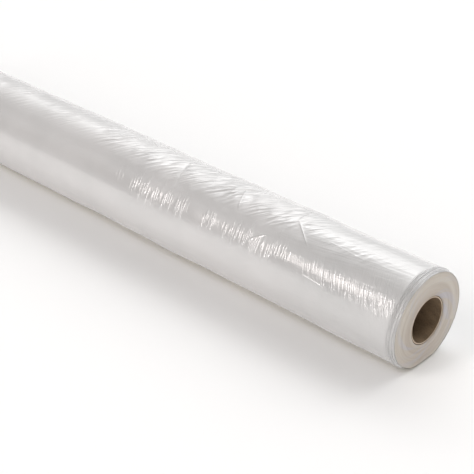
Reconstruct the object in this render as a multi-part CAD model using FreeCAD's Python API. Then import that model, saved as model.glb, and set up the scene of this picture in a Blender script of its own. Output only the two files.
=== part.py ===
"""A roll of plastic sheeting wound on a spiral-wound paperboard core. Millimetres.

The roll lies on its side along X, as it does on a floor. The origin is on the floor under the middle of
the roll, and +Z is up. The sheet is folded to the roll's width and wound tight on the core. The roll was
wound round and has settled since: it is wider than it is high, and its weight presses a flat spot where
it rests. The last turns lie slack round it.
"""

import math
import os

import FreeCAD
import Part

# Core: a paperboard tube that fits a three inch mandrel, and how far it lies back from the web's edges.
CORE_BORE = 76.2
CORE_WALL = 4.0
CORE_RECESS = 1.0

# Web: the sheet, folded into several plies, so that each turn adds its gauge times its plies.
WEB_WIDTH = 1500.0
SHEET_GAUGE = 0.1
PLIES = 4

# Settled section: the width over the flanks, how far out from the core's axis each flank's arc has its
# centre, how far the crown falls short of half the width, how far the axis has sunk towards the floor,
# and the width of the flat spot.
ROLL_WIDTH = 176.0
FLANK_OFFSET = 6.0
CROWN_DROP = 3.3
AXIS_SINK = 8.4
FLAT_WIDTH = 36.0

# The free end of the web lies along the back of the roll, this far round below the core's axis.
FREE_END_DEG = 25.0

# Slack outer turns: how far each group of them stops short of the web's width at either end, from the
# outermost group inwards, and how thick a group is.
GROUP_SETBACKS = (11.0, 7.0, 3.5)
GROUP_THICKNESS = 0.8

# Wander: the web drifts from side to side while it is wound, which leaves shallow rings on both ends. This
# is the drift of the outermost ring and the width of every ring.
RING_DRIFT = 0.9
RING_WIDTH = 8.5

# How far a cutting solid runs past the faces that it trims.
OVERRUN = 10.0

core_radius = CORE_BORE / 2 + CORE_WALL
core_length = WEB_WIDTH - 2 * CORE_RECESS
turn_thickness = SHEET_GAUGE * PLIES
slack_thickness = GROUP_THICKNESS * len(GROUP_SETBACKS)

half_width = ROLL_WIDTH / 2
flank_radius = half_width - FLANK_OFFSET
crown_height = half_width - CROWN_DROP
axis_height = half_width - AXIS_SINK
flat_half = FLAT_WIDTH / 2

# The crown's arc touches both flanks without a corner, and so does the arc that runs from each flank into
# the flat spot. Two circles touch so where their centres are as far apart as their radii differ.
crown_radius = (FLANK_OFFSET**2 + crown_height**2 - flank_radius**2) / (2 * (crown_height - flank_radius))
corner_radius = (flank_radius**2 - axis_height**2 - (flat_half - FLANK_OFFSET) ** 2) / (
    2 * (flank_radius - axis_height)
)


def angle_to(centre, point):
    """The direction from one point of the section to another, in degrees from +Y towards +Z."""
    return math.degrees(math.atan2(point[1] - centre[1], point[0] - centre[0]))


def on_circle(centre, radius, degrees):
    """The point (y, z) of a circle in the section at that angle."""
    angle = math.radians(degrees)
    return (centre[0] + radius * math.cos(angle), centre[1] + radius * math.sin(angle))


def arc(centre, radius, start_deg, end_deg):
    """An arc of the section from one angle to another."""
    angles = (start_deg, (start_deg + end_deg) / 2, end_deg)
    return Part.Arc(*[FreeCAD.Vector(0, *on_circle(centre, radius, a)) for a in angles]).toShape()


def line(start, end):
    """A straight edge of the section."""
    return Part.LineSegment(FreeCAD.Vector(0, *start), FreeCAD.Vector(0, *end)).toShape()


def section_outline(inset, lap):
    """The closed outline of the winding, that far inside its outside. The turn under the web's free end
    lies one lap deeper there, and rises to the outside along an arc that touches the corner's."""
    crown_centre = (0, axis_height + crown_height - crown_radius)
    back_flank = (FLANK_OFFSET, axis_height)
    front_flank = (-FLANK_OFFSET, axis_height)
    back_corner = (flat_half, corner_radius)
    front_corner = (-flat_half, corner_radius)

    crown_deg = angle_to(crown_centre, back_flank)
    corner_deg = angle_to(back_flank, back_corner)
    radius = flank_radius - inset

    free_edge = on_circle(back_flank, radius, -FREE_END_DEG)
    under_edge = on_circle(back_flank, radius - lap, -FREE_END_DEG)
    touch = on_circle(back_flank, radius, corner_deg)
    reach = (radius - lap) * math.cos(math.radians(corner_deg + FREE_END_DEG))
    under_radius = math.dist(touch, under_edge) ** 2 / (2 * (radius - reach))
    under_centre = on_circle(back_flank, radius - under_radius, corner_deg)
    step = [line(under_edge, free_edge)] if lap else []

    return Part.Wire(
        [
            line((-flat_half, inset), (flat_half, inset)),
            arc(back_corner, corner_radius - inset, -90, corner_deg),
            arc(under_centre, under_radius, corner_deg, angle_to(under_centre, under_edge)),
            *step,
            arc(back_flank, radius, -FREE_END_DEG, crown_deg),
            arc(crown_centre, crown_radius - inset, crown_deg, 180 - crown_deg),
            arc(front_flank, radius, 180 - crown_deg, 180 - corner_deg),
            arc(front_corner, corner_radius - inset, 180 - corner_deg, 270),
        ]
    )


def along_roll(outline, length):
    """The solid that an outline makes when it is carried along the roll, centred on its middle."""
    end = outline.translated(FreeCAD.Vector(-length / 2, 0, 0))
    return Part.Face(end).extrude(FreeCAD.Vector(length, 0, 0))


def on_core_axis(radius, length):
    """A cylinder on the core's axis, centred on the roll's middle."""
    end = FreeCAD.Vector(-length / 2, 0, axis_height)
    return Part.makeCylinder(radius, length, end, FreeCAD.Vector(1, 0, 0))


def web_edge(end_x):
    """The profile of one end of the roll above the core's axis, from inside the core outwards: straight
    up to the first turn, which was lined up with the core, then an arc for each ring. The rings drift to
    one side and the other in turn, each further than the one before."""
    rings = (half_width - core_radius) / RING_WIDTH

    def at(drift, radius):
        return FreeCAD.Vector(end_x + drift, 0, axis_height + radius)

    edges = [Part.LineSegment(at(0, core_radius - OVERRUN), at(0, core_radius)).toShape()]
    for ring in range(math.ceil(rings) + 1):
        inner = core_radius + ring * RING_WIDTH
        middle = inner + RING_WIDTH / 2
        outer = inner + RING_WIDTH
        drift = (-1) ** ring * RING_DRIFT * (ring + 1) / rings
        edges.append(Part.Arc(at(0, inner), at(drift, middle), at(0, outer)).toShape())
    return edges


def wandering_web():
    """The space that a web of constant width fills as it wanders: its two edges, spun about the core's
    axis. A ring that stands proud at one end of the roll is set back as much at the other."""
    left = web_edge(-WEB_WIDTH / 2)
    right = web_edge(WEB_WIDTH / 2)
    outside = Part.LineSegment(left[-1].lastVertex().Point, right[-1].lastVertex().Point).toShape()
    inside = Part.LineSegment(left[0].firstVertex().Point, right[0].firstVertex().Point).toShape()
    profile = Part.Face(Part.Wire([*left, outside, *reversed(right), inside]))
    return profile.revolve(FreeCAD.Vector(0, 0, axis_height), FreeCAD.Vector(1, 0, 0), 360)


def sheet_roll():
    """The wound sheet: the tight turns with their ringed ends, the groups of slack turns round them, each
    shorter than the one beneath, and the step at the free end of the outermost."""
    past_ends = WEB_WIDTH + 2 * OVERRUN
    tight = along_roll(section_outline(slack_thickness, 0), past_ends).common(wandering_web())
    slack = []
    for depth, setback in enumerate(GROUP_SETBACKS):
        lap = turn_thickness if depth == 0 else 0
        slack.append(along_roll(section_outline(depth * GROUP_THICKNESS, lap), WEB_WIDTH - 2 * setback))
    wound = tight.multiFuse(slack)
    return wound.cut(on_core_axis(core_radius, past_ends)).removeSplitter()


def core_tube():
    """The paperboard tube, cut square at both ends."""
    return on_core_axis(core_radius, core_length).cut(on_core_axis(CORE_BORE / 2, core_length + 2 * OVERRUN))


def main():
    os.makedirs("parts", exist_ok=True)
    for name, shape in {"film_roll": sheet_roll(), "core_tube": core_tube()}.items():
        shape.exportStep(f"parts/{name}.step")
        box = shape.optimalBoundingBox()
        size = f"{box.XLength:.1f} x {box.YLength:.1f} x {box.ZLength:.1f} mm"
        print(f"{name}: {len(shape.Solids)} solid, valid {shape.isValid()}, {size}, {shape.Volume / 1e9:.6f} m3")


main()
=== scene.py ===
import math

import bpy
import numpy as np
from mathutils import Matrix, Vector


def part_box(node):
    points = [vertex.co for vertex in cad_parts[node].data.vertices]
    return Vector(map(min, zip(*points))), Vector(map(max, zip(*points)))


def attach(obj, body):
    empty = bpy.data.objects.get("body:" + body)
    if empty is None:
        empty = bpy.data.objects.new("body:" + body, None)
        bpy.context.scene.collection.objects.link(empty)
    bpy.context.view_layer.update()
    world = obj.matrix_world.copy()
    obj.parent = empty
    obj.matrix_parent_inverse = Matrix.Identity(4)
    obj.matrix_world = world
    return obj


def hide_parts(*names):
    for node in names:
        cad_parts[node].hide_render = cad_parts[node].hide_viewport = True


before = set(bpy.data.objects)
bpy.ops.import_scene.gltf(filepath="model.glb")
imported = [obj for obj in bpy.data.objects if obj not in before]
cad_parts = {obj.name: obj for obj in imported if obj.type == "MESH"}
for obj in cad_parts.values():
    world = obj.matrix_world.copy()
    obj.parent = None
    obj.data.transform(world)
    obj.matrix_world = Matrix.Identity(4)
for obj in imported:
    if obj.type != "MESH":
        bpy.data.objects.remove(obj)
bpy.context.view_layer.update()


# ---- Camera ---------------------------------------------------------------------------------------
# A long lens beside the near end of the roll, at standing height, looks down along it. The roll runs
# away from the lens and past the left edge of the frame.

film_low, film_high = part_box("film_roll")

# Where the lens stands, in metres from the floor under the near end's middle, where it looks, in degrees,
# and its focal length and sensor, in millimetres.
CAMERA_FROM_NEAR_END = (0.9163, -1.4073, 1.2160)
CAMERA_AZIMUTH = 43.27
CAMERA_ELEVATION = 30.78
CAMERA_LENS = 97.63
CAMERA_SENSOR = 36


def new_object(name, data):
    """An object with that mesh or camera in it, linked into the scene."""
    made = bpy.data.objects.new(name, data)
    bpy.context.scene.collection.objects.link(made)
    return made


def add_camera():
    """A camera, with its sensor and lens in millimetres, that looks down by its elevation. At azimuth 0
    it looks along +Y, and the azimuth grows as it walks round to +X."""
    data = bpy.data.cameras.new("camera")
    data.sensor_width = CAMERA_SENSOR
    data.lens = CAMERA_LENS
    camera = new_object("camera", data)
    azimuth = math.radians(CAMERA_AZIMUTH)
    elevation = math.radians(CAMERA_ELEVATION)
    near_end = np.array((film_high.x, 0, 0))
    camera.location = near_end + CAMERA_FROM_NEAR_END
    camera.rotation_euler = (math.pi / 2 - elevation, 0, azimuth)
    bpy.context.scene.camera = camera


add_camera()
bpy.context.scene.view_settings.view_transform = "Standard"


# ---- Studio ---------------------------------------------------------------------------------------
# A pale floor that runs out to a white surround. A broad bright bank of light stands behind the roll
# and runs along it, and the ceiling is dimmer. Seven panels add to them: three hang in front, two
# overhead and two behind.

# Half the floor's side, how far it lies under the roll, and its shade for light and as it is seen.
FLOOR_HALF = 40.0
FLOOR_DROP = 0.0003
FLOOR_COLOR = 0.9
FLOOR_COLOR_SEEN = 0.97

# Light from each direction round the roll's long axis: degrees from straight up, towards the front,
# and the strength there.
SKY = (
    (-76, 0.9), (-68, 1.1), (-60, 1.6), (-52, 2.0), (-45, 2.5), (-38, 2.8),
    (-31, 2.3), (-24, 1.55), (-15, 0.85), (-3, 0.35), (11, 0.08), (25, 0.28),
    (36, 0.48), (44, 0.35), (52, 0.02), (60, 0.05), (68, 0.12), (76, 0.4),
)

# Towards each end of the roll: from and to along its long axis, as a share of each direction, and the
# share of the strength that is left there.
DIMMER_ENDS = (
    (0.2, 0.6, 0.35),
    (-0.48, -0.78, 0.5),
)

# The backdrop: the height where it ends, as a share of each direction, the depth of its soft edge, and
# its strength.
BACKDROP_TOP = 0.10
BACKDROP_EDGE = 0.05
BACKDROP_STRENGTH = 1.0

# Panels: from and to in the same degrees, from and to along the roll's long axis as a share of each
# direction, then strength and colour. Their sides are soft, by so many degrees and by such a share.
PANELS = (
    (43, 60, -0.56, -0.36, 4.1, (1.0, 0.93, 0.9)),
    (32, 76, -0.36, -0.18, 6.0, (1.0, 0.96, 0.94)),
    (56, 84, -0.18, 1.1, 1.1, (1.0, 0.95, 0.91)),
    (12, 46, -0.4, 1.1, 0.3, (1.0, 0.95, 0.91)),
    (-64, -26, -0.2, 1.1, 0.5, (1.0, 1.0, 1.0)),
    (-46, -30, -0.74, -0.56, 0.9, (1.0, 1.0, 1.0)),
    (-24, 8, -0.74, -0.56, 0.35, (1.0, 0.97, 0.97)),
)
PANEL_EDGE = 4
PANEL_SIDE = 0.03


def add_node(tree, kind, inputs=None, **settings):
    """A node of that kind in a node tree, with its settings made, and each input given a value or
    linked from another node's output."""
    node = tree.nodes.new(kind)
    for name, value in settings.items():
        setattr(node, name, value)
    for socket, value in (inputs or {}).items():
        if isinstance(value, bpy.types.NodeSocket):
            tree.links.new(value, node.inputs[socket])
        else:
            node.inputs[socket].default_value = value
    return node


def math_node(tree, operation, first, second=0.0, third=0.0):
    """The output of one Math node."""
    inputs = {0: first, 1: second, 2: third}
    return add_node(tree, "ShaderNodeMath", inputs, operation=operation).outputs[0]


def times(tree, first, second):
    """The product of two values."""
    return math_node(tree, "MULTIPLY", first, second)


def scaled(tree, value, by, plus=0.0):
    """value * by + plus."""
    return math_node(tree, "MULTIPLY_ADD", value, by, plus)


def smooth_step(tree, value, start, full):
    """Nought before start and one past full, with a smooth rise between. Full may lie below start."""
    inputs = {"Value": value, "From Min": start, "From Max": full}
    node = add_node(tree, "ShaderNodeMapRange", inputs, interpolation_type="SMOOTHSTEP")
    return node.outputs["Result"]


def window(tree, value, first, last, edge):
    """One from first to last and nought outside, with smooth sides twice as wide as edge."""
    rise = smooth_step(tree, value, first - edge, first + edge)
    return times(tree, rise, smooth_step(tree, value, last + edge, last - edge))


def new_material(name):
    """An empty node material and its tree."""
    material = bpy.data.materials.new(name)
    material.use_nodes = True
    material.node_tree.nodes.clear()
    return material, material.node_tree


def seen_by_eye_or_mirror(tree):
    """One on camera, glossy and transmitted rays, and nought on the rays that only light things."""
    path = add_node(tree, "ShaderNodeLightPath")
    seen = math_node(tree, "MAXIMUM", path.outputs["Is Camera Ray"], path.outputs["Is Glossy Ray"])
    return math_node(tree, "MAXIMUM", seen, path.outputs["Is Transmission Ray"])


def light_the_studio():
    """The surround. Its strength follows the angle atan2(-y, z) of each direction round the long axis,
    down to the white backdrop that stands on the floor all round. It is dimmer at both ends. The panels'
    light is added to it."""
    world = bpy.data.worlds.new("studio")
    bpy.context.scene.world = world
    world.use_nodes = True
    tree = world.node_tree
    tree.nodes.clear()
    direction = add_node(tree, "ShaderNodeTexCoord").outputs["Generated"]
    axes = add_node(tree, "ShaderNodeSeparateXYZ", {0: direction}).outputs
    front = times(tree, axes["Y"], -1)
    around = math_node(tree, "ARCTAN2", front, axes["Z"])
    degrees = math_node(tree, "DEGREES", around)
    share = scaled(tree, degrees, 1 / 360, 0.5)
    strongest = max(strength for _, strength in SKY)
    ramp = add_node(tree, "ShaderNodeValToRGB", {"Fac": share})
    stops = ramp.color_ramp.elements
    stops.remove(stops[1])
    for number, (angle, strength) in enumerate(SKY):
        place = 0.5 + angle / 360
        stop = stops[0] if number == 0 else stops.new(place)
        stop.position = place
        stop.color = (*[strength / strongest] * 3, 1)
    sky = times(tree, ramp.outputs["Color"], strongest)
    for start, full, dimmed_to in DIMMER_ENDS:
        by_end = smooth_step(tree, axes["X"], start, full)
        sky = times(tree, sky, scaled(tree, by_end, dimmed_to - 1, 1))
    height = math_node(tree, "ABSOLUTE", axes["Z"])
    low_down = smooth_step(tree, height, BACKDROP_TOP, BACKDROP_TOP - BACKDROP_EDGE)
    gap = math_node(tree, "SUBTRACT", BACKDROP_STRENGTH, sky)
    sky = scaled(tree, gap, low_down, sky)
    lit = add_node(tree, "ShaderNodeBackground", {"Color": (1, 1, 1, 1), "Strength": sky})

    for first, last, left_end, right_end, strength, color in PANELS:
        around_axis = window(tree, degrees, first, last, PANEL_EDGE)
        along_axis = window(tree, axes["X"], left_end, right_end, PANEL_SIDE)
        panel = times(tree, times(tree, around_axis, along_axis), strength)
        light = add_node(tree, "ShaderNodeBackground", {"Color": (*color, 1), "Strength": panel})
        lit = add_node(tree, "ShaderNodeAddShader", {0: lit.outputs[0], 1: light.outputs[0]})
    add_node(tree, "ShaderNodeOutputWorld", {"Surface": lit.outputs[0]})


def add_floor():
    """One large quad of matt white paper, just under the roll's flat spot."""
    mesh = bpy.data.meshes.new("floor")
    corners = [(-1, -1), (1, -1), (1, 1), (-1, 1)]
    height = film_low.z - FLOOR_DROP
    mesh.from_pydata([(x * FLOOR_HALF, y * FLOOR_HALF, height) for x, y in corners], [], [(0, 1, 2, 3)])
    floor = new_object("floor", mesh)
    material, tree = new_material("floor_paper")
    seen = seen_by_eye_or_mirror(tree)
    color = scaled(tree, seen, FLOOR_COLOR_SEEN - FLOOR_COLOR, FLOOR_COLOR)
    matt = add_node(tree, "ShaderNodeBsdfDiffuse", {"Color": color})
    add_node(tree, "ShaderNodeOutputMaterial", {"Surface": matt.outputs[0]})
    mesh.materials.append(material)


light_the_studio()
add_floor()


# ---- Wound sheet ----------------------------------------------------------------------------------
# Clear polyethylene sheet, folded in plies and wound on the core. Many turns with air between them look
# milky. The outer turns lie slack and creased, their edges stop short in steps, and the free end lies
# along the back.

# The core ends this far inside the sheet's ends.
CORE_RECESS = 0.001

core_low, core_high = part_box("core_tube")
axis_height = (core_low.z + core_high.z) / 2
core_radius = (core_high.y - core_low.y) / 2
half_width = (film_high.y - film_low.y) / 2
half_length = (core_high.x - core_low.x) / 2 + CORE_RECESS

# Settled section: how far out from the axis each flank's arc has its centre, how far the crown falls
# short of half the width, and half the flat spot.
FLANK_OFFSET = 0.006
CROWN_DROP = 0.0033
FLAT_HALF = 0.018


def settled_radius(angle):
    """How far the winding's outline lies from the core's axis, at angles from the top towards the front.
    The outline is a crown, two flanks and two corners, arcs that touch each other, closed by the flat
    spot. A circle round c, seen from inside along d, lies d.c + sqrt(R^2 - |c|^2 + (d.c)^2) away."""
    crown_height = half_width - CROWN_DROP
    flank = half_width - FLANK_OFFSET
    crown = (FLANK_OFFSET**2 + crown_height**2 - flank**2) / (2 * (crown_height - flank))
    corner = (flank**2 - axis_height**2 - (FLAT_HALF - FLANK_OFFSET) ** 2) / (2 * (flank - axis_height))
    across = np.abs(np.sin(angle))
    up = np.cos(angle)

    def reach(center_y, center_z, radius):
        """How far out a circle's far side lies, by the formula above."""
        along = across * center_y + up * center_z
        return along + np.sqrt(radius**2 - center_y**2 - center_z**2 + along**2)

    def end_of_flank(step_y, step_z):
        """Elevation from the axis of the flank's point in that direction from the flank's own centre."""
        slope = math.atan2(step_z, step_y)
        return math.atan2(flank * math.sin(slope), FLANK_OFFSET + flank * math.cos(slope))

    elevation = np.arctan2(up, across)
    crown_from = end_of_flank(FLANK_OFFSET, crown - crown_height)
    corner_from = end_of_flank(FLAT_HALF - FLANK_OFFSET, corner - axis_height)
    flat_from = math.atan2(-axis_height, FLAT_HALF)
    crown_part = reach(0.0, crown_height - crown, crown)
    flank_part = reach(FLANK_OFFSET, 0.0, flank)
    corner_part = reach(FLAT_HALF, corner - axis_height, corner)
    flat_part = axis_height / np.maximum(-up, 1e-6)
    choices = [elevation > crown_from, elevation > corner_from, elevation > flat_from]
    return np.select(choices, [crown_part, flank_part, corner_part], flat_part)


def smooth(value, start, full):
    """Nought before start and one past full, with a smooth rise between: 3t^2 - 2t^3."""
    share = np.clip((value - start) / (full - start), 0, 1)
    return share * share * (3 - 2 * share)


def band(value, start, full, last, end):
    """One from full to last and nought outside start and end, with a smooth rise and fall."""
    return smooth(value, start, full) * smooth(-value, -end, -last)


# Gaps between rows: over the stepped edges, over the creased length and over the tidy one, and where
# each gives way to the next, in metres from an end and from the near end.
EDGE_SPACING = 0.00045
EDGE_ROWS_END = (0.016, 0.0208)
CREASED_SPACING = 0.00145
CREASED_ROWS_END = (0.62, 0.75)
TIDY_SPACING = 0.0040

# Gaps between columns: over the top and the front, between these degrees, and elsewhere.
SEEN_SPACING = 0.0034
SEEN_DEG = (-72, -62, 115, 125)
UNDER_SPACING = 0.0070

# How many short steps the running sum of 1 / spacing takes.
STEPS_TO_COUNT = 4000


def places_between(start, end, spacing):
    """Places from start to end that lie as far apart as spacing, a function, says for each place. They
    are where the running sum of 1 / spacing passes whole steps."""
    fine = np.linspace(start, end, STEPS_TO_COUNT + 1)
    middles = (fine[1:] + fine[:-1]) / 2
    count = np.concatenate(([0], np.cumsum(np.diff(fine) / spacing(middles))))
    return np.interp(np.linspace(0, count[-1], round(count[-1]) + 1), count, fine)


def row_spacing(distance):
    """The gap between rows of the skin: a blend of the spacings above, by the distance along the roll.
    Rows crowd together over the stepped edges and over the creased length."""
    inside = CREASED_SPACING + (TIDY_SPACING - CREASED_SPACING) * smooth(distance, *CREASED_ROWS_END)
    from_end = np.minimum(distance, 2 * half_length - distance)
    return EDGE_SPACING + (inside - EDGE_SPACING) * smooth(from_end, *EDGE_ROWS_END)


def column_spacing(degrees):
    """The gap between columns in degrees, a blend of the two spacings. Columns crowd together over the
    top and the front."""
    spacing = UNDER_SPACING + (SEEN_SPACING - UNDER_SPACING) * band(degrees, *SEEN_DEG)
    return np.degrees(spacing / half_width)


def plane_waves(along, around, seed, count, lengths, lean, spread):
    """A random rolling surface with a height near one, on a grid: the sum of plane waves. Their crests
    run round the roll, turned by lean and a random spread in degrees, and their lengths are random
    between two. As a formula: sum of sin(k.(along, around) + phase) / sqrt(count / 2)."""
    random = np.random.default_rng(seed)
    total = np.zeros(np.broadcast_shapes(along.shape, around.shape))
    for _ in range(count):
        length = math.exp(random.uniform(math.log(lengths[0]), math.log(lengths[1])))
        turn = math.radians(random.normal(lean, spread))
        phase = random.uniform(0, 2 * math.pi)
        wave = (along * math.cos(turn) + around * math.sin(turn)) * 2 * math.pi / length
        total += np.sin(wave + phase)
    return total / math.sqrt(count / 2)


def fold_lines(waves, width):
    """Sharp ridges where a rolling surface passes through nought: exp(-|surface| / width)."""
    return np.exp(-np.abs(waves) / width)


# Broad folds of the outer turn: distance from the near end in millimetres and degrees from the top, at
# both ends of each, then its height and width in millimetres. One with a negative height is a groove.
FOLDS = (
    (205, 12, 56, 18, 0.25, 3.5),
    (216, 3, 120, 9, 0.22, 3.5),
    (412, 2, 386, 12, 0.6, 2.6),
    (356, -12, 326, 28, 0.4, 3.0),
    (470, -22, 447, 10, 0.4, 3.0),
    (536, -12, 511, 34, -2.2, 5.0),
    (600, -16, 656, 12, 0.5, 3.0),
    (622, -20, 668, 8, 0.4, 3.0),
)

# Where a fold starts, is full, starts to fade and ends, as shares of its line.
FOLD_SPAN = (-0.1, 0.3, 0.7, 1.1)


def on_sheet(millimetres, degrees):
    """A point on the unrolled sheet, in metres from the near end and round from the top."""
    return np.array((millimetres / 1000, math.radians(degrees) * half_width, 0))


def broad_folds(distance, around):
    """All the folds in the list, each height * exp(-gap / width), where gap is the distance from the
    fold's straight line on the unrolled sheet. They die away at their ends."""
    total = 0.0
    for start, start_deg, end, end_deg, height, width in FOLDS:
        first = on_sheet(start, start_deg)
        span = on_sheet(end, end_deg) - first
        length = np.linalg.norm(span)
        past = ((distance - first[0]) * span[0] + (around - first[1]) * span[1]) / length**2
        aside = ((distance - first[0]) * span[1] - (around - first[1]) * span[0]) / length
        fade = band(past, *FOLD_SPAN)
        total = total + height / 1000 * fade * np.exp(-np.abs(aside) / (width / 1000))
    return total


# Random waves of the outer turn, in metres and degrees: the arguments of plane_waves.
SWELLS = {"seed": 3, "count": 14, "lengths": (0.10, 0.34), "lean": 20, "spread": 40}
PATCHES = {"seed": 5, "count": 12, "lengths": (0.07, 0.20), "lean": 10, "spread": 45}
RIPPLES = {"seed": 7, "count": 44, "lengths": (0.009, 0.020), "lean": -44, "spread": 14}
SLANTED_FOLDS = {"seed": 11, "count": 24, "lengths": (0.030, 0.080), "lean": -40, "spread": 16}
FACETS = {"count": 10, "lengths": (0.05, 0.12), "spread": 14}
FACET_SEEDS_AND_LEANS = ((21, 38), (22, -42), (23, 8))

# Their heights in metres. Facets: where the film is creased, then what is added off the crumple-free
# strip, and what crumples add there. Slanted folds: all over, then what creased and crumpled film adds.
SWELL_HEIGHT = 0.00045
RIPPLE_HEIGHT = 0.00022
FACET_HEIGHTS = (0.00004, 0.00008, 0.00022)
SLANTED_HEIGHTS = (0.00010, 0.00012, 0.00048)
SLANTED_WIDTH = 0.22
PATCH_LEVELS = (-0.6, 0.9)

# Where the creased length ends, where the crumpled one starts and ends, and where the ripples come to
# full height, in metres from the near end.
CREASED_END = (0.58, 0.82)
CRUMPLED_START = (0.19, 0.33)
CRUMPLED_END = (0.52, 0.70)
RIPPLES_START = (0.15, 0.28)

# How far round from the top the film calms down, on the front and on the back, and by what share. Then
# the strips of the front that the ripples and the crumpled folds leave out.
CALM_FRONT_DEG = (55, 77)
CALM_FRONT = 0.85
CALM_BACK_DEG = (22, 44)
CALM_BACK = 0.8
RIPPLE_FREE_DEG = (14, 32, 64, 76)
CRUMPLE_FREE_DEG = (32, 44, 64, 72)

# The shares of their height that ripples keep by the near end, off the patches and where the film is
# tidy, and that swells keep where it is tidy.
RIPPLES_BY_END = 0.3
RIPPLES_OFF_PATCHES = 0.25
RIPPLES_TIDY = 0.2
SWELLS_TIDY = 0.5

# Slack bulges: centre and reach along the roll in metres, centre and reach round it in degrees, height.
BULGES = (
    (0.52, 0.06, 112, 24, 0.0026),
    (0.437, 0.026, 30, 9, 0.0013),
)


def skin_height(distance, angle_deg):
    """How far the outermost turn stands off the settled outline, the sum of: long swells, facets that
    meet in soft folds (-|waves|), ripples that slant across the back and the top, slanted folds in
    patches, the broad folds in the list, and the slack bulges, each height * exp(-u^2 - v^2)."""
    around = np.radians(angle_deg) * half_width
    creased = 1 - smooth(distance, *CREASED_END)
    crumpled = smooth(distance, *CRUMPLED_START) * (1 - smooth(distance, *CRUMPLED_END))
    upper = 1 - CALM_FRONT * smooth(angle_deg, *CALM_FRONT_DEG)
    upper = upper * (1 - CALM_BACK * smooth(-angle_deg, *CALM_BACK_DEG))
    rippled = 1 - band(angle_deg, *RIPPLE_FREE_DEG)
    folded = 1 - band(angle_deg, *CRUMPLE_FREE_DEG)

    swell = plane_waves(distance, around, **SWELLS) * SWELL_HEIGHT
    facets = 0.0
    for seed, lean in FACET_SEEDS_AND_LEANS:
        facets = facets - np.abs(plane_waves(distance, around, seed=seed, lean=lean, **FACETS))
    low, high, highest = FACET_HEIGHTS
    facets = facets * (low * creased + (high * creased + highest * crumpled) * folded)

    patches = smooth(plane_waves(distance, around, **PATCHES), *PATCH_LEVELS)
    past_end = RIPPLES_BY_END + (1 - RIPPLES_BY_END) * smooth(distance, *RIPPLES_START)
    ripple = plane_waves(distance, around, **RIPPLES) * RIPPLE_HEIGHT
    less_tidy = RIPPLES_TIDY + (1 - RIPPLES_TIDY) * creased
    ripple = ripple * (RIPPLES_OFF_PATCHES + patches) * less_tidy * rippled * past_end
    folds = fold_lines(plane_waves(distance, around, **SLANTED_FOLDS), SLANTED_WIDTH)
    low, high, highest = SLANTED_HEIGHTS
    folds = folds * patches * ((low + high * creased) * rippled + highest * crumpled * folded)

    height = swell * (SWELLS_TIDY + (1 - SWELLS_TIDY) * creased) + (facets + ripple + folds) * upper
    height = height + broad_folds(distance, around)
    for middle, reach, middle_deg, reach_deg, bulge in BULGES:
        along = (distance - middle) / reach
        round_roll = (angle_deg - middle_deg) / reach_deg
        height = height + bulge * np.exp(-(along**2) - round_roll**2)
    return height


# Slack groups of turns: how far each stops short of the winding's ends, from the outermost inwards, how
# thick a group is, and how wide its edge is. Then the height and width of its curled lip.
GROUP_SETBACKS = (0.011, 0.007, 0.0035)
GROUP_THICKNESS = 0.0010
GROUP_EDGE = 0.0008
GROUP_CURL = 0.0007
GROUP_CURL_WIDTH = 0.0014

# The shares of a setback that it wanders by, in waves of 1, 3 and 7 to a turn.
GROUP_WANDER = (0.28, 0.08, 0.04)


def group_inset(from_end, angle_deg):
    """How far the skin steps in near an end, where each slack group stops short of the one beneath. The
    edges wander: each setback grows and shrinks by waves round the roll. Each edge curls up, by
    a lip that varies in 5 and 13 waves to a turn and dies away as exp(-distance / width)."""
    inset = np.zeros(np.broadcast_shapes(from_end.shape, angle_deg.shape))
    angle = np.radians(angle_deg)
    once, thrice, seven_times = GROUP_WANDER
    for number, setback in enumerate(GROUP_SETBACKS):
        wander = once * np.cos(angle - 0.1) + thrice * np.sin(3 * angle + number)
        edge = setback * (1 + wander + seven_times * np.sin(7 * angle + 2 * number))
        inset += GROUP_THICKNESS * (1 - smooth(from_end, edge - GROUP_EDGE / 2, edge + GROUP_EDGE / 2))
        curl = GROUP_CURL * (1.1 + np.sin(5 * angle + 3 * number) + 0.6 * np.sin(13 * angle + number)) / 2
        behind_edge = np.maximum(from_end - edge - GROUP_EDGE / 4, 0)
        lip = smooth(from_end, edge - GROUP_EDGE / 2, edge) * np.exp(-behind_edge / GROUP_CURL_WIDTH)
        inset -= curl * lip
    return inset


def waves_along(distance, seed, count, lengths):
    """Random waves that change along one line only."""
    return plane_waves(distance, np.zeros_like(distance), seed, count, lengths, 0, 0)


# Rings on both ends: how far the outermost ring lies to the side, how wide every ring is, and how far
# single turns stray, in waves.
RING_DRIFT = 0.0009
RING_WIDTH = 0.0085
TURN_DRIFT = 0.00012
TURN_WAVES = {"seed": 17, "count": 12, "lengths": (0.003, 0.007)}


def ring_drift(radius):
    """How far the turns at a radius lie to the side, the rings on both ends: a sine that grows outwards,
    and a finer unevenness of single turns."""
    wound = np.maximum(radius - core_radius, 0)
    growth = wound / (half_width - core_radius)
    rings = RING_DRIFT * growth * np.sin(math.pi * wound / RING_WIDTH)
    return rings + TURN_DRIFT * waves_along(wound, **TURN_WAVES)


# The sheet's free end: its place round from the top, the step down from it and how wide that is. How
# far its edge lifts and how far round the lift reaches. The waves of the lift, and the usual and least
# shares of it. The end wanders a little along the roll, by other waves, and that dies away this far to
# both sides.
FREE_END_DEG = -115.0
FREE_END_STEP = 0.0008
FREE_END_SLOPE_DEG = 0.5
FREE_EDGE_LIFT = 0.0007
FREE_EDGE_CURL_DEG = 9
LIFT_WAVES = {"seed": 29, "count": 12, "lengths": (0.03, 0.16)}
USUAL_LIFT = 1.2
LEAST_LIFT = 0.15
WANDER_WAVES = {"seed": 19, "count": 9, "lengths": (0.15, 0.9)}
WANDER_AFTER_DEG = 30
WANDER_BEFORE_DEG = 40

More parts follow.
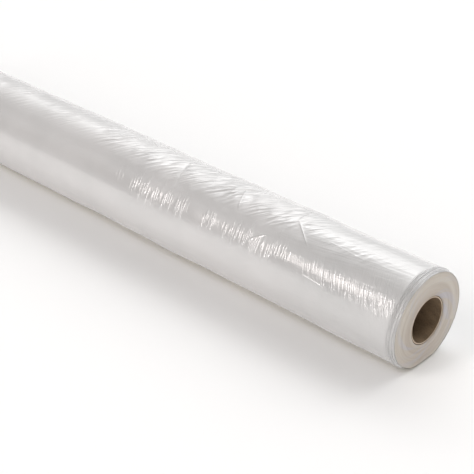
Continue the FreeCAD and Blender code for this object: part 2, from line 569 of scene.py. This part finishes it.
# The film lies calmer near both ends: within this distance, and down to this share of its height. It
# lies flat on the floor where the cosine of its angle from the top passes from the second to the first.
CALM_END = 0.02
CALM_SHARE = 0.35
FLAT_COSINES = (-0.98, -0.80)

# The rounding between the skin and both end faces, and the rows across it and across each face.
RIM_ROUNDING = 0.0024
RIM_ROWS = 6
FACE_ROWS = 24


def film_grid():
    """The whole winding as one closed grid, rows along its profile and columns round it: out over the
    near end, along the skin, in over the far end and back through the bore. The skin's radius is the
    settled outline plus its height, less the stepped edges. Returns the points, how far each row lies
    along the profile, how far each column lies round the roll, and which rows are skin."""
    columns = places_between(FREE_END_DEG, FREE_END_DEG + 360 - FREE_END_SLOPE_DEG, column_spacing)[None, :]
    distance = places_between(0, 2 * half_length, row_spacing)[:, None]
    from_end = np.minimum(distance, 2 * half_length - distance)
    past_edge = columns - FREE_END_DEG
    after_edge = 1 - smooth(past_edge, 0, WANDER_AFTER_DEG)
    before_edge = smooth(past_edge, 360 - WANDER_BEFORE_DEG, 360 - FREE_END_SLOPE_DEG)
    wander = waves_along(distance, **WANDER_WAVES)
    degrees = columns + wander * (after_edge + before_edge)
    angle = np.radians(degrees)

    lap = FREE_END_STEP * smooth(past_edge, 180, 360)
    lift = np.maximum(USUAL_LIFT + waves_along(distance, **LIFT_WAVES), LEAST_LIFT)
    lift = FREE_EDGE_LIFT * lift * (1 - smooth(past_edge, 0, FREE_EDGE_CURL_DEG))
    loose = CALM_SHARE + (1 - CALM_SHARE) * smooth(from_end, 0, CALM_END)
    height = skin_height(distance, degrees) * loose + lift - lap
    off_floor = smooth(np.cos(angle), *FLAT_COSINES)
    radius = settled_radius(angle) + height * off_floor - group_inset(from_end, degrees)
    x = half_length - distance + 0 * angle
    skin = np.stack([x, -radius * np.sin(angle), radius * np.cos(angle)], 2)

    turn = np.linspace(0, math.pi / 2, RIM_ROWS + 1)[1:, None]
    share = np.linspace(1, 0, FACE_ROWS + 1)[1:, None]

    def end_rows(row, side):
        """Rows from an edge of the skin over the rounded rim and in over the end face to the core. The
        rings die away outwards: 1 - share^12, where share is how much of the way out a row lies."""
        rim = radius[row] - RIM_ROUNDING * (1 - np.cos(turn))
        rim_x = half_length + RIM_ROUNDING * (np.sin(turn) - 1) + 0 * rim
        face = core_radius + share * (rim[-1] - core_radius)
        radii = np.concatenate([rim, face])
        ringed = np.concatenate([0 * turn, 1 - share**12])
        x = side * np.concatenate([rim_x, half_length + 0 * face]) + ringed * ring_drift(radii)
        return np.stack([x, -radii * np.sin(angle[row]), radii * np.cos(angle[row])], 2)

    near = end_rows(0, 1)[::-1]
    far = end_rows(-1, -1)
    points = np.concatenate([near, skin, far])
    points[:, :, 2] = np.maximum(points[:, :, 2] + axis_height, film_low.z)
    # The column near the top is a third of the way through them.
    on_top = points[:, points.shape[1] // 3]
    along = np.concatenate(([0], np.cumsum(np.linalg.norm(np.diff(on_top, axis=0), axis=1))))
    around = np.radians(columns[0]) * half_width
    is_skin = np.zeros(len(points), bool)
    is_skin[len(near) : len(near) + len(skin)] = True
    return points, along, around, is_skin


# On the UV map, the faces that close a grid are this share of its whole length.
CLOSING_SHARE = 0.01


def closed_grid_mesh(name, points, along, around, materials, row_material):
    """A mesh from a grid of points that closes on itself both ways. Each face joins a row to the next and
    a column to the next, the last to the first. The UV map holds how far each corner lies along the
    profile and round the piece, in metres."""
    rows, columns = points.shape[:2]
    row = np.arange(rows)[:, None]
    column = np.arange(columns)[None, :]
    next_row = (row + 1) % rows
    next_column = (column + 1) % columns
    corners = [(row, column), (next_row, column), (next_row, next_column), (row, next_column)]
    faces = np.stack([np.broadcast_to(r * columns + c, (rows, columns)) for r, c in corners], 2)
    mesh = bpy.data.meshes.new(name)
    mesh.vertices.add(rows * columns)
    mesh.vertices.foreach_set("co", points.reshape(-1).astype(np.float32))
    mesh.loops.add(faces.size)
    mesh.loops.foreach_set("vertex_index", faces.reshape(-1).astype(np.int32))
    mesh.polygons.add(rows * columns)
    mesh.polygons.foreach_set("loop_start", np.arange(0, faces.size, 4, dtype=np.int32))
    mesh.polygons.foreach_set("material_index", np.repeat(row_material, columns).astype(np.int32))
    mesh.polygons.foreach_set("use_smooth", np.ones(rows * columns, bool))
    past_along = along[-1] + abs(along[-1] - along[0]) * CLOSING_SHARE
    past_around = around[-1] + abs(around[-1] - around[0]) * CLOSING_SHARE
    along_next = np.append(along[1:], past_along)[:, None]
    around_next = np.append(around[1:], past_around)[None, :]
    along = along[:, None] + 0 * around_next
    around = around[None, :] + 0 * along_next
    u = np.stack(np.broadcast_arrays(along, along_next, along_next, along), 2)
    v = np.stack(np.broadcast_arrays(around, around, around_next, around_next), 2)
    wrap = mesh.uv_layers.new(name="wrap")
    wrap.data.foreach_set("uv", np.stack([u, v], 3).reshape(-1).astype(np.float32))
    for material in materials:
        mesh.materials.append(material)
    mesh.update(calc_edges=True)
    mesh.validate()
    return new_object(name, mesh)


def finish_material(tree, height, distance, **inputs):
    """The Principled shader at the end of a material, over a bump: height times distance, in metres. Its
    other sockets are set by name, with underscores for spaces."""
    bump = {"Height": height, "Strength": 1.0, "Distance": distance}
    normal = add_node(tree, "ShaderNodeBump", bump).outputs[0]
    named = {name.replace("_", " "): value for name, value in inputs.items()}
    named.update({"Normal": normal, "Coat Normal": normal})
    shader = add_node(tree, "ShaderNodeBsdfPrincipled", named)
    add_node(tree, "ShaderNodeOutputMaterial", {"Surface": shader.outputs[0]})


def on_wrap_map(tree):
    """Where each point lies on the wrap map: X along the profile and Y round the piece, in metres."""
    wrap = add_node(tree, "ShaderNodeUVMap", uv_map="wrap").outputs[0]
    return add_node(tree, "ShaderNodeSeparateXYZ", {0: wrap}).outputs


def in_space(tree):
    """Each point's X, Y and Z, in metres."""
    position = add_node(tree, "ShaderNodeTexCoord").outputs["Object"]
    return add_node(tree, "ShaderNodeSeparateXYZ", {0: position}).outputs


def gap_between(tree, first, second):
    """How far apart two values are: |first - second|."""
    return math_node(tree, "ABSOLUTE", math_node(tree, "SUBTRACT", first, second))


def drawn_out_noise_group():
    """A node group: noise on the wrap map, drawn out in one direction. Fine and Long are how many lumps
    there are in a metre along the profile and round the piece. Lean shifts the lumps along by that share
    of the way round, and Slant shifts them round by that share of the way along. Ridge is one where the
    noise passes its middle, on thin branching crests: (1 - |2 * noise - 1|)^4."""
    group = bpy.data.node_groups.new("drawn_out_noise", "ShaderNodeTree")
    for name in ("Fine", "Long", "Lean", "Slant", "Detail"):
        group.interface.new_socket(name, in_out="INPUT", socket_type="NodeSocketFloat")
    for name in ("Value", "Ridge"):
        group.interface.new_socket(name, in_out="OUTPUT", socket_type="NodeSocketFloat")
    inside = add_node(group, "NodeGroupInput").outputs
    parts = on_wrap_map(group)
    leaning = scaled(group, parts["Y"], inside["Lean"], parts["X"])
    across = times(group, leaning, inside["Fine"])
    slanting = scaled(group, parts["X"], inside["Slant"], parts["Y"])
    along = times(group, slanting, inside["Long"])
    place = add_node(group, "ShaderNodeCombineXYZ", {"X": across, "Y": along}).outputs[0]
    settings = {"Vector": place, "Scale": 1.0, "Detail": inside["Detail"], "Roughness": 0.5}
    noise = add_node(group, "ShaderNodeTexNoise", settings, noise_dimensions="2D").outputs[0]
    from_middle = scaled(group, noise, 2, -1)
    ridge = math_node(group, "SUBTRACT", 1, math_node(group, "ABSOLUTE", from_middle))
    ridge = math_node(group, "POWER", ridge, 4)
    add_node(group, "NodeGroupOutput", {"Value": noise, "Ridge": ridge})
    return group


def drawn_out_noise(tree, fine, long, lean=0.0, slant=0.0, detail=2.0, output="Value"):
    """That group's noise with its inputs set, as one value."""
    group = bpy.data.node_groups.get("drawn_out_noise") or drawn_out_noise_group()
    inputs = {"Fine": fine, "Long": long, "Lean": lean, "Slant": slant, "Detail": detail}
    return add_node(tree, "ShaderNodeGroup", inputs, node_tree=group).outputs[output]


def mix_colors(tree, share, first, second):
    """A colour between two, by a share. Either is a colour or another node's output."""
    inputs = {0: share}
    for socket, color in ((6, first), (7, second)):
        inputs[socket] = color if isinstance(color, bpy.types.NodeSocket) else (*color, 1)
    return add_node(tree, "ShaderNodeMix", inputs, data_type="RGBA").outputs[2]


def tinted(tree, color, share, tint, rest=(1.0, 1.0, 1.0)):
    """A colour times a tint where the share is one, and times the rest where it is nought."""
    tints = mix_colors(tree, share, rest, tint)
    return add_node(tree, "ShaderNodeVectorMath", {0: color, 1: tints}, operation="MULTIPLY").outputs[0]


def dot_product(tree, first, second):
    """The dot product of two vectors, as one value."""
    node = add_node(tree, "ShaderNodeVectorMath", {0: first, 1: second}, operation="DOT_PRODUCT")
    return node.outputs["Value"]


# Sharp creases of the outer turn: the same measures as for the broad folds.
CREASES = (
    (261, 6, 204, 36, 1.0, 2.0),
    (256, -28, 258, 13, 0.8, 2.2),
    (300, 34, 262, 13, 0.5, 1.5),
    (320, 57, 284, 41, 0.6, 1.4),
    (190, 17, 96, 22, 0.22, 2.5),
    (392, -6, 366, 31, 1.1, 2.2),
    (417, 42, 415, 56, 0.6, 1.2),
    (403, 47, 397, 67, 0.7, 1.3),
    (477, 50, 465, 69, 0.8, 1.4),
    (487, 46, 483, 63, 0.7, 1.3),
    (566, 43, 561, 62, 0.7, 1.3),
)

# Where a crease starts to fade and where it ends, from its middle, as shares of its line.
CREASE_FADE = (0.5, 0.25)


def crease_height(tree, place, start, start_deg, end, end_deg, height, width):
    """One crease on the unrolled sheet, height * exp(-gap / width), where gap is the distance from its
    straight line. It dies away towards both ends."""
    first = on_sheet(start, start_deg)
    last = on_sheet(end, end_deg)
    middle = (first + last) / 2
    span = last - first
    length = np.linalg.norm(span)
    along = span / length**2
    across = np.array((span[1], -span[0], 0)) / length / (width / 1000)
    share = gap_between(tree, dot_product(tree, place, along), middle @ along)
    gap = gap_between(tree, dot_product(tree, place, across), middle @ across)
    ridge = times(tree, math_node(tree, "POWER", 1 / math.e, gap), height / 1000)
    return times(tree, ridge, smooth_step(tree, share, *CREASE_FADE))


# One thin pleat near the front, doubled over: metres from the near end and degrees at both ends, then its
# half width, the soft edge at its ends, its height, and how much brighter its colour is, a painted
# highlight.
PLEAT = (0.192, 63.4, 0.151, 66.0)
PLEAT_WIDTH = 0.0018
PLEAT_END = 0.002
PLEAT_HEIGHT = 0.0006
PLEAT_HIGHLIGHT_TINT = (1.5, 1.5, 1.5)


def pleat_mask(tree, from_near_end, round_roll):
    """One along the pleat's straight line on the unrolled sheet."""
    start, start_deg, end, end_deg = PLEAT
    slope = math.radians(end_deg - start_deg) * half_width / (end - start)
    rest = math.radians(start_deg) * half_width - slope * start
    line = scaled(tree, from_near_end, slope, rest)
    across = smooth_step(tree, gap_between(tree, round_roll, line), PLEAT_WIDTH, 0)
    lengthwise = window(tree, from_near_end, end + PLEAT_END, start - PLEAT_END, PLEAT_END)
    return times(tree, across, lengthwise)


# Where the film lies tidy and where it is crumpled, in metres from the near end, and which levels of a
# noise make the patches.
TIDY_START = (0.60, 0.85)
CRUMPLE_START = (0.19, 0.30)
PATCH_NOISE = (0.42, 0.60)

# Colours: milky, and milky and crumpled. Then the warm painted shade along the contact line, as a tint on
# them, and where it lies, in metres over the floor.
MILKY_COLOR = (0.577, 0.573, 0.570)
CRUMPLED_COLOR = (0.653, 0.641, 0.638)
CONTACT_SHADE_TINT = (1.0, 0.92, 0.70)
CONTACT_SHADE_START = (0.013, 0.004)


def film_color(tree, crumpled, pleat, contact_shade):
    """Milky grey in soft clouds, paler where the film is crumpled, brighter along the doubled pleat, a
    painted highlight, and warmer and darker just over the floor, a painted contact shade."""
    clouds = smooth_step(tree, drawn_out_noise(tree, 9, 9), 0.35, 0.65)
    milk = scaled(tree, crumpled, 0.65, times(tree, clouds, 0.35))
    color = mix_colors(tree, milk, MILKY_COLOR, CRUMPLED_COLOR)
    # Painted highlight: the pleat's colour is brighter, a glint along its crest.
    color = tinted(tree, color, pleat, PLEAT_HIGHLIGHT_TINT)
    # Painted shade: the film turns warmer and darker just over the floor, along its contact line.
    return tinted(tree, color, contact_shade, CONTACT_SHADE_TINT)


# Ribs: where they come to full height on the way from the front to the top, their height all over and
# what patches add to it.
RIBS_START_DEG = (36, 10)
RIB_HEIGHT = 0.00045
RIB_HEIGHT_IN_PATCHES = 0.00080


def rib_height(tree, degrees, crumpled, patches):
    """Ribs that slant across the back and the top. They are higher in patches, and still higher where
    the film is crumpled."""
    behind = smooth_step(tree, degrees, *RIBS_START_DEG)
    ribs = drawn_out_noise(tree, 124, 8, lean=-1.0, detail=1.0)
    strength = scaled(tree, patches, RIB_HEIGHT_IN_PATCHES, RIB_HEIGHT)
    strength = times(tree, strength, scaled(tree, crumpled, 1.7, 0.45))
    return times(tree, ribs, times(tree, strength, behind))


# Finer ribs: their height all over, what crumples take away and what the near end adds, where that end
# starts, and the strip of the front that has them, with its soft edge.
FINE_RIB_HEIGHT = 0.00042
FINE_RIB_HEIGHT_CRUMPLED = -0.0003
FINE_RIB_HEIGHT_BY_END = 0.0009
NEAR_END_START = (0.10, 0.04)
FINE_RIB_DEG = (30, 76)
FINE_RIB_EDGE_DEG = 18


def fine_rib_height(tree, from_near_end, degrees, crumpled):
    """Finer ribs across the front, high by the near end and faint where the film is crumpled."""
    ribs = drawn_out_noise(tree, 310, 22, lean=0.4)
    strength = scaled(tree, crumpled, FINE_RIB_HEIGHT_CRUMPLED, FINE_RIB_HEIGHT)
    by_end = smooth_step(tree, from_near_end, *NEAR_END_START)
    strength = scaled(tree, by_end, FINE_RIB_HEIGHT_BY_END, strength)
    in_front = window(tree, degrees, *FINE_RIB_DEG, FINE_RIB_EDGE_DEG)
    return times(tree, ribs, times(tree, strength, in_front))


# The lines on the near end's stepped edges: where they start, and their height.
EDGE_LINES_START = (0.020, 0.012)
EDGE_LINE_HEIGHT = 0.0010


def edge_line_height(tree, from_near_end):
    """Thin lines round the near end's stepped edges, where single turns stop."""
    lines = drawn_out_noise(tree, 420, 5, output="Ridge")
    on_edge = smooth_step(tree, from_near_end, *EDGE_LINES_START)
    return times(tree, lines, times(tree, on_edge, EDGE_LINE_HEIGHT))


# Streaks: their height all over, what the top adds, and how far from the top that starts.
STREAK_HEIGHT = 0.0002
STREAK_HEIGHT_ON_TOP = 0.00025
TOP_START_DEG = (60, 30)


def streak_height(tree, degrees, crumpled):
    """Low streaks that run along the roll, strongest on top and faint where the film is crumpled."""
    streaks = drawn_out_noise(tree, 15, 120, slant=-0.13)
    on_top = smooth_step(tree, math_node(tree, "ABSOLUTE", degrees), *TOP_START_DEG)
    streaks = times(tree, streaks, scaled(tree, on_top, STREAK_HEIGHT_ON_TOP, STREAK_HEIGHT))
    return times(tree, streaks, scaled(tree, crumpled, -0.8, 1))


# Short creases gather across the front in these stretches, in metres from the near end. Then the soft
# edge of each stretch, the degrees of their band, its soft edge, how far it wanders, and their height.
GATHERED = ((0.228, 0.376), (0.396, 0.420), (0.462, 0.600), (0.624, 0.642), (0.776, 0.786))
GATHERED_EDGE = 0.008
GATHERED_DEG = (44, 64)
GATHERED_EDGE_DEG = 4
GATHERED_WANDER_DEG = 18
GATHERED_HEIGHT = 0.0005


def gathered_height(tree, from_near_end, degrees, patches):
    """Short creases across the front, the crests of a noise drawn out round the roll. They show in the
    listed stretches, inside a band with uneven sides."""
    crests = drawn_out_noise(tree, 160, 10, lean=0.12, detail=0.0, output="Ridge")
    gathered = 0.0
    for first, last in GATHERED:
        stretch = window(tree, from_near_end, first, last, GATHERED_EDGE)
        gathered = math_node(tree, "ADD", stretch, gathered)
    wander = drawn_out_noise(tree, 90, 4, lean=0.12, detail=0.0)
    wander = scaled(tree, wander, 2 * GATHERED_WANDER_DEG, -GATHERED_WANDER_DEG)
    wandering = math_node(tree, "ADD", degrees, wander)
    by_front = window(tree, wandering, *GATHERED_DEG, GATHERED_EDGE_DEG)
    strength = times(tree, times(tree, gathered, by_front), scaled(tree, patches, 0.4, 0.6))
    return times(tree, crests, times(tree, strength, GATHERED_HEIGHT))


# The film's roughness, what crumples and tidiness add to it, the shares of the clear gloss that tidiness
# and the painted contact shade take away, and the share of all heights that tidiness takes away.
FILM_ROUGHNESS = 0.13
CRUMPLED_ROUGHER = 0.05
TIDY_ROUGHER = 0.07
TIDY_DULLER = 0.55
CONTACT_SHADE_DULLER = 0.75
TIDY_CALMER = 0.5


def film_skin_material():
    """The outer turn: glossy clear film over milky turns, with the ribs, edges, streaks and creases as a
    bump. It is calmer and duller where it lies tidy. Just over the floor, a warm painted shade with duller
    gloss marks its contact line."""
    material, tree = new_material("film_skin")
    round_roll = on_wrap_map(tree)["Y"]
    degrees = times(tree, round_roll, math.degrees(1 / half_width))
    axes = in_space(tree)
    from_near_end = math_node(tree, "SUBTRACT", half_length, axes["X"])
    tidy = smooth_step(tree, from_near_end, *TIDY_START)
    crumpled = smooth_step(tree, from_near_end, *CRUMPLE_START)
    patches = smooth_step(tree, drawn_out_noise(tree, 14, 10), *PATCH_NOISE)
    pleat = pleat_mask(tree, from_near_end, round_roll)
    # Painted shade along the contact line, just over the floor. It tints the colour and dulls the gloss.
    contact_shade = smooth_step(tree, axes["Z"], *CONTACT_SHADE_START)
    color = film_color(tree, crumpled, pleat, contact_shade)

    ribs = rib_height(tree, degrees, crumpled, patches)
    ribs = math_node(tree, "ADD", ribs, fine_rib_height(tree, from_near_end, degrees, crumpled))
    marks = streak_height(tree, degrees, crumpled)
    marks = math_node(tree, "ADD", marks, gathered_height(tree, from_near_end, degrees, patches))
    height = math_node(tree, "ADD", ribs, marks)
    calmer = scaled(tree, tidy, -TIDY_CALMER, 1)
    height = scaled(tree, height, calmer, edge_line_height(tree, from_near_end))
    height = scaled(tree, pleat, PLEAT_HEIGHT, height)
    place = add_node(tree, "ShaderNodeCombineXYZ", {"X": from_near_end, "Y": round_roll}).outputs[0]
    for crease in CREASES:
        height = math_node(tree, "ADD", height, crease_height(tree, place, *crease))
    roughness = scaled(tree, crumpled, CRUMPLED_ROUGHER, FILM_ROUGHNESS)
    # The painted contact shade also dulls the clear gloss.
    gloss = scaled(tree, contact_shade, -CONTACT_SHADE_DULLER, 1)
    finish_material(
        tree,
        height,
        distance=1.0,
        Base_Color=color,
        Roughness=scaled(tree, tidy, TIDY_ROUGHER, roughness),
        IOR=2.0,
        Coat_Weight=times(tree, gloss, scaled(tree, tidy, -TIDY_DULLER, 1)),
        Coat_Roughness=0.05,
    )
    return material


def radius_from_axis(tree):
    """How far each point lies from the core's axis, in metres."""
    axes = in_space(tree)
    up = math_node(tree, "SUBTRACT", axes["Z"], axis_height)
    across = add_node(tree, "ShaderNodeCombineXYZ", {"Y": axes["Y"], "Z": up}).outputs[0]
    return add_node(tree, "ShaderNodeVectorMath", {0: across}, operation="LENGTH").outputs["Value"]


# The ends' colours near the core and near the rim, warm and cool.
WARM_EDGES = ((0.44, 0.375, 0.315), (0.60, 0.555, 0.49))
COOL_EDGES = ((0.42, 0.395, 0.42), (0.57, 0.56, 0.575))


def film_edges_material():
    """The ends: the edges of many turns, a warm pale grey that lightens outwards, with faint rings and
    cool tints here and there."""
    material, tree = new_material("film_edges")
    outwards = smooth_step(tree, radius_from_axis(tree), core_radius, half_width)
    rings = drawn_out_noise(tree, 420, 3)
    bands = smooth_step(tree, drawn_out_noise(tree, 130, 2), 0.35, 0.65)
    tints = smooth_step(tree, drawn_out_noise(tree, 75, 4, lean=0.3), 0.5, 0.66)
    tints = times(tree, tints, scaled(tree, outwards, -0.6, 0.9))
    shade = scaled(tree, bands, 0.45, times(tree, outwards, 0.6))
    warm = mix_colors(tree, shade, *WARM_EDGES)
    cool = mix_colors(tree, shade, *COOL_EDGES)
    color = mix_colors(tree, tints, warm, cool)
    finish_material(tree, rings, distance=0.0004, Base_Color=color, Roughness=0.38, IOR=1.5)
    return material


points, along, around, is_skin = film_grid()
film = closed_grid_mesh(
    "film", points, along, around, [film_skin_material(), film_edges_material()], np.where(is_skin, 0, 1)
)
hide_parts("film_roll")
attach(film, "root")


# ---- Core -----------------------------------------------------------------------------------------
# A spiral-wound tube of brown paperboard plies, cut off square. The sheet is wound on it, and it sits a
# little inside the sheet's ends.

# The tube's wall, the columns round it, and the rows of its outside and its bore.
CORE_WALL = 0.004
CORE_COLUMNS = 128
OUTSIDE_ROWS = 20
BORE_ROWS = 40

# The rounding of the cut edges, the rows across it, and the share of it that the cut's material covers.
CUT_ROUNDING = 0.0004
ROUNDING_ROWS = 4
CUT_SHARE = 0.6


def core_grid():
    """The tube as one closed grid: over the near cut edge, along the outside, over the far cut edge and
    back through the bore. Both edges of each cut are rounded by a quarter circle."""
    length = core_high.x - core_low.x
    bore = core_radius - CORE_WALL
    turn = np.linspace(0, math.pi / 2, ROUNDING_ROWS)
    round_x = length / 2 - CUT_ROUNDING * (1 - np.sin(turn))
    inner = bore + CUT_ROUNDING * (1 - np.cos(turn))
    outer = core_radius - CUT_ROUNDING * (1 - np.cos(turn))
    outside = np.linspace(round_x[0], -round_x[0], OUTSIDE_ROWS)[1:-1]
    inside = np.linspace(-round_x[0], round_x[0], BORE_ROWS)[1:-1]
    x = np.concatenate([round_x, round_x[::-1], outside, -round_x, -round_x[::-1], inside])
    outer_wall = np.full_like(outside, core_radius)
    inner_wall = np.full_like(inside, bore)
    radius = np.concatenate([inner, outer[::-1], outer_wall, outer, inner[::-1], inner_wall])
    angle = np.linspace(0, 2 * math.pi, CORE_COLUMNS, endpoint=False)
    x = x[:, None]
    radius = radius[:, None]
    angle = angle[None, :]
    points = np.stack([x + 0 * angle, -radius * np.sin(angle), radius * np.cos(angle) + axis_height], 2)
    steps = np.linalg.norm(np.diff(points[:, 0], axis=0), axis=1)
    along = np.concatenate(([0], np.cumsum(steps)))
    is_cut = np.abs(x[:, 0]) > length / 2 - CUT_ROUNDING * CUT_SHARE
    return points, along, angle[0] * core_radius, is_cut


# The spiral seams: how far the spiral climbs in a turn, and where a seam starts and is full, as shares
# of that. Then the paper's darkest and palest colours.
PLY_PITCH = 0.124
SEAM = (0.012, 0.004)
KRAFT_COLORS = ((0.15, 0.10, 0.058), (0.27, 0.19, 0.115))


def kraft_material():
    """Brown paperboard: pressed fibres in fine flecks, and the edges of the spiral plies."""
    material, tree = new_material("core_paper")
    parts = on_wrap_map(tree)
    turns = times(tree, parts["Y"], 1 / (2 * math.pi * core_radius))
    spiral = math_node(tree, "FRACT", scaled(tree, parts["X"], 1 / PLY_PITCH, turns))
    seam = smooth_step(tree, gap_between(tree, spiral, 0.5), *SEAM)
    flecks = drawn_out_noise(tree, 700, 350, lean=0.3, detail=3.0)
    blotches = drawn_out_noise(tree, 40, 60, lean=0.5, detail=3.0)
    shade = scaled(tree, flecks, 0.5, times(tree, blotches, 0.6))
    shade = scaled(tree, seam, -0.45, smooth_step(tree, shade, 0.3, 0.8))
    color = mix_colors(tree, shade, *KRAFT_COLORS)
    height = scaled(tree, seam, -1.2, flecks)
    finish_material(tree, height, distance=0.0002, Base_Color=color, Roughness=0.85)
    return material


# The cut edge: its darkest and palest colours, how deep the middle of the paler ply lies, how far from
# there that ply starts and is full, and the tints of that ply and of the others.
CUT_COLORS = ((0.17, 0.12, 0.08), (0.33, 0.255, 0.18))
PALE_PLY_DEPTH = 0.0024
PALE_PLY_EDGE = (0.00091, 0.00049)
PALE_PLY_TINT = (2.5, 2.7, 3.0)
OTHER_PLY_TINT = (0.62, 0.62, 0.62)


def cut_paper_material():
    """The sawn edge: the plies as thin rings, torn fibres, and one ply of paler board near the outside."""
    material, tree = new_material("core_cut")
    plies = drawn_out_noise(tree, 1100, 8)
    fibres = drawn_out_noise(tree, 900, 900, detail=3.0)
    shade = scaled(tree, plies, 0.7, times(tree, fibres, 0.4))
    color = mix_colors(tree, smooth_step(tree, shade, 0.3, 0.8), *CUT_COLORS)
    from_ply = gap_between(tree, radius_from_axis(tree), core_radius - PALE_PLY_DEPTH)
    on_ply = smooth_step(tree, from_ply, *PALE_PLY_EDGE)
    color = tinted(tree, color, on_ply, PALE_PLY_TINT, OTHER_PLY_TINT)
    finish_material(tree, shade, distance=0.0003, Base_Color=color, Roughness=0.9)
    return material


points, along, around, is_cut = core_grid()
core = closed_grid_mesh(
    "core", points, along, around, [kraft_material(), cut_paper_material()], np.where(is_cut, 1, 0)
)
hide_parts("core_tube")
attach(core, "root")
